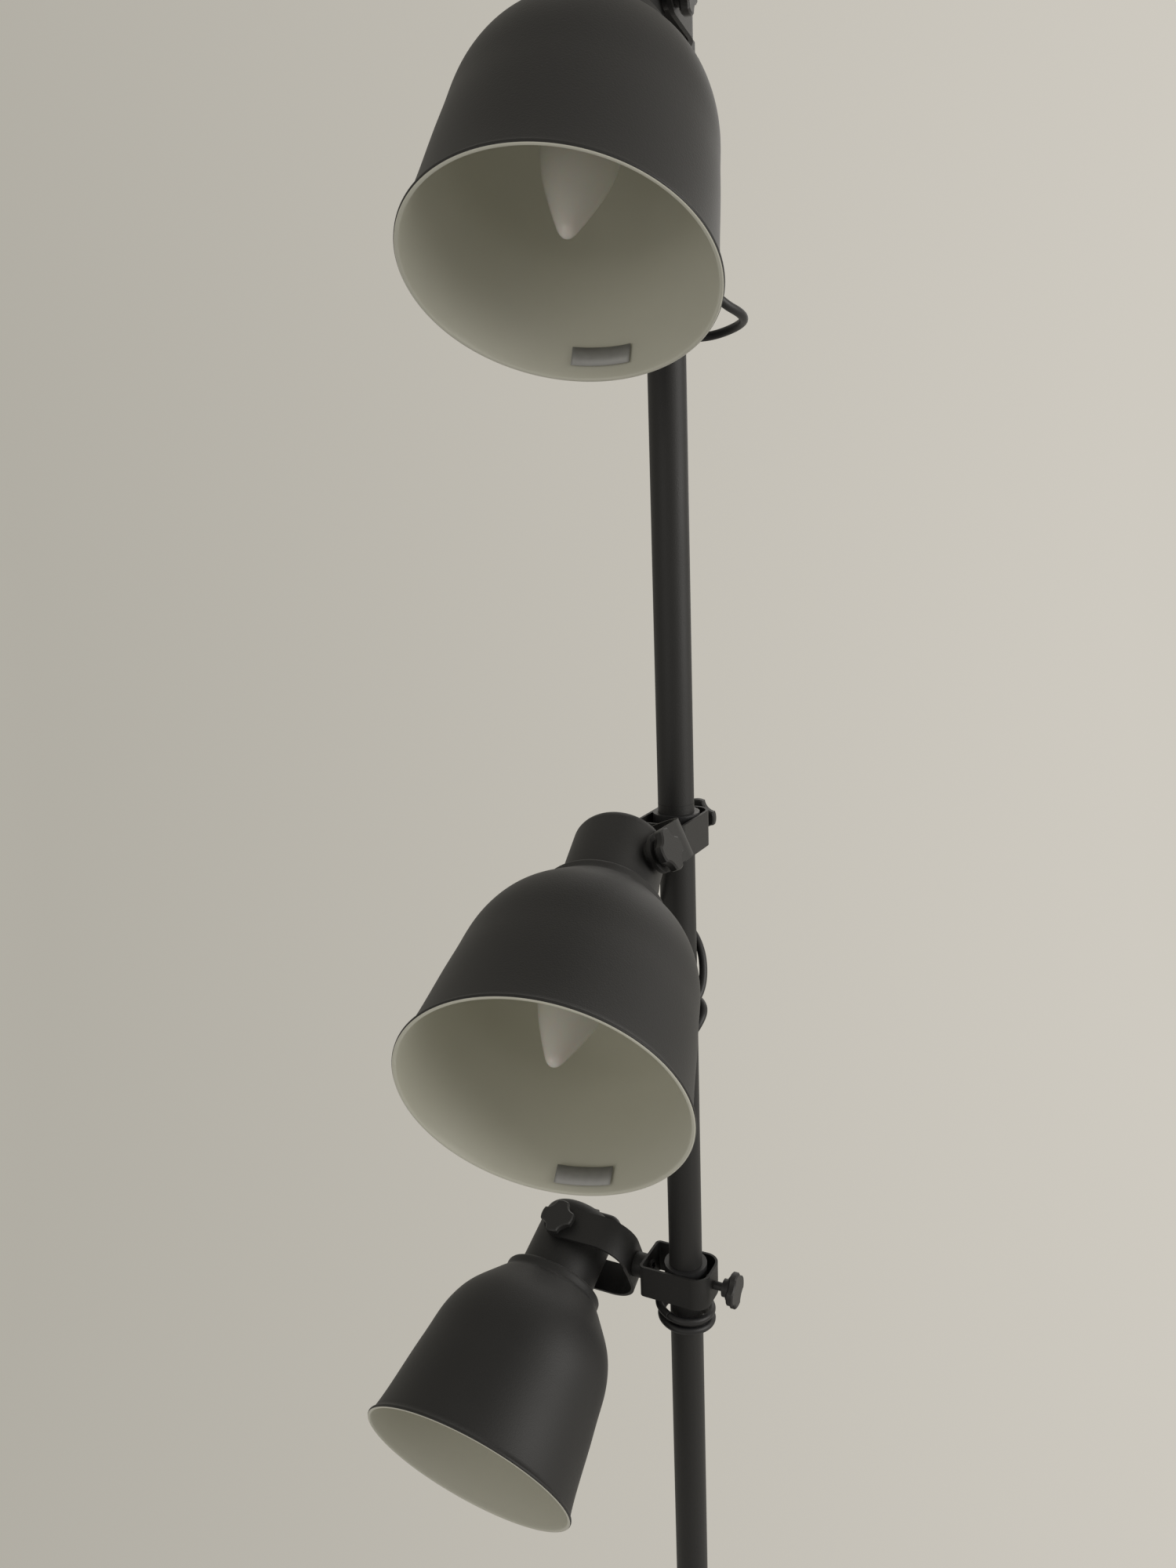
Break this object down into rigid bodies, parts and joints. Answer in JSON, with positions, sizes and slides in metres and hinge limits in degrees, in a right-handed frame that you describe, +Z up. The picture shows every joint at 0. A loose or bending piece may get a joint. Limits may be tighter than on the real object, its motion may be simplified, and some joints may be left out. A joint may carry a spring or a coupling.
{
  "type": "tension pole lamp",
  "caption": "Spring-loaded floor-to-ceiling pole lamp: dark matt pole with spot heads on sliding clamps, bell shades on tilting yokes, star knobs and loose leads.",
  "frame": {"origin": "on the floor, under the centre of the pole", "axes": "+Z up along the pole, -Y towards the viewer of the picture"},
  "size_m": [0.2302, 0.2893, 2.437],
  "materials": {
    "pole_paint": "fine matt powder coat",
    "head_paint": "fine matt powder coat outside, warm white enamel inside",
    "knob_paint": "fine matt powder coat",
    "plastic_black": "matt",
    "holder": "matt",
    "bulb_glass": "opal",
    "bulb_cap": "satin",
    "steel": "zinc plated",
    "rod_steel": "bright",
    "pad": "matt",
    "lead": "satin sheath"
  },
  "bodies": {
    "pole": {"floor_pad": "pad", "floor_cup": "pole_paint", "cord_gland": "plastic_black", "pole_lower_tube": "pole_paint", "pole_middle_tube": "pole_paint", "pole_upper_tube": "pole_paint", "pole_top_tube": "pole_paint", "tube_couplers": "steel", "spring_stop": "steel", "tension_spring": "steel", "guide_bush": "plastic_black", "pole_elbows": "plastic_black", "top_lead": "lead", "middle_lead": "lead", "bottom_lead": "lead"},
    "plunger": {"plunger_rod": "rod_steel", "ceiling_cup": "pole_paint", "ceiling_pad": "pad"},
    "top_carriage": {"top_liner": "plastic_black"},
    "top_clamp": {"top_clamp_band": "pole_paint", "top_swivel_nipple": "pole_paint", "top_swivel_nut": "pole_paint"},
    "top_clamp_knob_body": {"top_clamp_knob": "knob_paint"},
    "top_yoke": {"top_yoke": "pole_paint"},
    "top_head": {"top_shade": "head_paint", "top_neck_cup": "head_paint", "top_lamp_holder": "holder", "top_bulb_glass": "bulb_glass", "top_bulb_cap": "bulb_cap", "top_neck_elbow": "plastic_black"},
    "top_tilt_knob_a_body": {"top_tilt_knob_a": "knob_paint"},
    "top_tilt_knob_b_body": {"top_tilt_knob_b": "knob_paint"},
    "middle_carriage": {"middle_liner": "plastic_black"},
    "middle_clamp": {"middle_clamp_band": "pole_paint", "middle_swivel_nipple": "pole_paint", "middle_swivel_nut": "pole_paint"},
    "middle_clamp_knob_body": {"middle_clamp_knob": "knob_paint"},
    "middle_yoke": {"middle_yoke": "pole_paint"},
    "middle_head": {"middle_shade": "head_paint", "middle_neck_cup": "head_paint", "middle_lamp_holder": "holder", "middle_bulb_glass": "bulb_glass", "middle_bulb_cap": "bulb_cap", "middle_neck_elbow": "plastic_black"},
    "middle_tilt_knob_a_body": {"middle_tilt_knob_a": "knob_paint"},
    "middle_tilt_knob_b_body": {"middle_tilt_knob_b": "knob_paint"},
    "bottom_carriage": {"bottom_liner": "plastic_black"},
    "bottom_clamp": {"bottom_clamp_band": "pole_paint", "bottom_swivel_nipple": "pole_paint", "bottom_swivel_nut": "pole_paint"},
    "bottom_clamp_knob_body": {"bottom_clamp_knob": "knob_paint"},
    "bottom_yoke": {"bottom_yoke": "pole_paint"},
    "bottom_head": {"bottom_shade": "head_paint", "bottom_neck_cup": "head_paint", "bottom_lamp_holder": "holder", "bottom_bulb_glass": "bulb_glass", "bottom_bulb_cap": "bulb_cap", "bottom_neck_elbow": "plastic_black"},
    "bottom_tilt_knob_a_body": {"bottom_tilt_knob_a": "knob_paint"},
    "bottom_tilt_knob_b_body": {"bottom_tilt_knob_b": "knob_paint"}
  },
  "joints": [
    {"name": "ceiling_spring", "type": "slide", "parent": "pole", "child": "plunger", "axis": [0, 0, 1], "range_m": [-0.03, 0.02], "stiffness_N_per_m": 2000, "springref_m": 0.0015, "deforming": ["tension_spring"]},
    {"name": "top_height", "type": "slide", "parent": "pole", "child": "top_carriage", "axis": [0, 0, 1], "range_m": [-0.03, 0.03], "deforming": ["top_lead"]},
    {"name": "top_turn", "type": "hinge", "parent": "top_carriage", "child": "top_clamp", "pos_m": [0, 0, 1.807], "axis": [0, 0, 1], "range_deg": [-45, 45], "deforming": ["top_lead"]},
    {"name": "top_clamp_screw", "type": "hinge", "parent": "top_clamp", "child": "top_clamp_knob_body", "pos_m": [0.01016, 0.02823, 1.807], "axis": [0.3387, 0.9409, 0], "range_deg": [-180, 180]},
    {"name": "top_swivel", "type": "hinge", "parent": "top_clamp", "child": "top_yoke", "pos_m": [-0.01169, -0.03246, 1.807], "axis": [-0.3387, -0.9409, 0], "range_deg": [-90, 90], "deforming": ["top_lead"]},
    {"name": "top_tilt", "type": "hinge", "parent": "top_yoke", "child": "top_head", "pos_m": [-0.02683, -0.07452, 1.807], "axis": [0.9409, -0.3387, 0], "range_deg": [-148.2, 31.8], "deforming": ["top_lead"]},
    {"name": "top_tilt_screw_a", "type": "hinge", "parent": "top_head", "child": "top_tilt_knob_a_body", "pos_m": [0.00479, -0.0859, 1.807], "axis": [0.9409, -0.3387, 0], "range_deg": [-180, 180]},
    {"name": "top_tilt_screw_b", "type": "hinge", "parent": "top_head", "child": "top_tilt_knob_b_body", "pos_m": [-0.05844, -0.06314, 1.807], "axis": [-0.9409, 0.3387, 0], "range_deg": [-180, 180]},
    {"name": "middle_height", "type": "slide", "parent": "pole", "child": "middle_carriage", "axis": [0, 0, 1], "range_m": [-0.03, 0.03], "deforming": ["middle_lead"]},
    {"name": "middle_turn", "type": "hinge", "parent": "middle_carriage", "child": "middle_clamp", "pos_m": [0, 0, 1.424], "axis": [0, 0, 1], "range_deg": [-45, 45], "deforming": ["middle_lead"]},
    {"name": "middle_clamp_screw", "type": "hinge", "parent": "middle_clamp", "child": "middle_clamp_knob_body", "pos_m": [0.01408, 0.02649, 1.424], "axis": [0.4695, 0.8829, 0], "range_deg": [-180, 180]},
    {"name": "middle_swivel", "type": "hinge", "parent": "middle_clamp", "child": "middle_yoke", "pos_m": [-0.0162, -0.03046, 1.424], "axis": [-0.4695, -0.8829, 0], "range_deg": [-114.4, 65.6], "deforming": ["middle_lead"]},
    {"name": "middle_tilt", "type": "hinge", "parent": "middle_yoke", "child": "middle_head", "pos_m": [-0.03718, -0.06993, 1.424], "axis": [0.8041, -0.4275, 0.4131], "range_deg": [-117.3, 62.7], "deforming": ["middle_lead"]},
    {"name": "middle_tilt_screw_a", "type": "hinge", "parent": "middle_head", "child": "middle_tilt_knob_a_body", "pos_m": [-0.01017, -0.08429, 1.43788], "axis": [0.8041, -0.4275, 0.4131], "range_deg": [-180, 180]},
    {"name": "middle_tilt_screw_b", "type": "hinge", "parent": "middle_head", "child": "middle_tilt_knob_b_body", "pos_m": [-0.0642, -0.05556, 1.41012], "axis": [-0.8041, 0.4275, -0.4131], "range_deg": [-180, 180]},
    {"name": "bottom_height", "type": "slide", "parent": "pole", "child": "bottom_carriage", "axis": [0, 0, 1], "range_m": [-0.03, 0.03], "deforming": ["bottom_lead"]},
    {"name": "bottom_turn", "type": "hinge", "parent": "bottom_carriage", "child": "bottom_clamp", "pos_m": [0, 0, 1.141], "axis": [0, 0, 1], "range_deg": [-45, 45], "deforming": ["bottom_lead"]},
    {"name": "bottom_clamp_screw", "type": "hinge", "parent": "bottom_clamp", "child": "bottom_clamp_knob_body", "pos_m": [0.02673, -0.01362, 1.141], "axis": [0.891, -0.454, 0], "range_deg": [-180, 180]},
    {"name": "bottom_swivel", "type": "hinge", "parent": "bottom_clamp", "child": "bottom_yoke", "pos_m": [-0.03074, 0.01566, 1.141], "axis": [-0.891, 0.454, 0], "range_deg": [-153.4, 26.6], "deforming": ["bottom_lead"]},
    {"name": "bottom_tilt", "type": "hinge", "parent": "bottom_yoke", "child": "bottom_head", "pos_m": [-0.07057, 0.03596, 1.141], "axis": [-0.2033, -0.399, 0.8942], "range_deg": [-178.6, 1.4], "deforming": ["bottom_lead"]},
    {"name": "bottom_tilt_screw_a", "type": "hinge", "parent": "bottom_head", "child": "bottom_tilt_knob_a_body", "pos_m": [-0.0774, 0.02255, 1.17104], "axis": [-0.2033, -0.399, 0.8942], "range_deg": [-180, 180]},
    {"name": "bottom_tilt_screw_b", "type": "hinge", "parent": "bottom_head", "child": "bottom_tilt_knob_b_body", "pos_m": [-0.06374, 0.04936, 1.11096], "axis": [0.2033, 0.399, -0.8942], "range_deg": [-180, 180]}
  ]
}
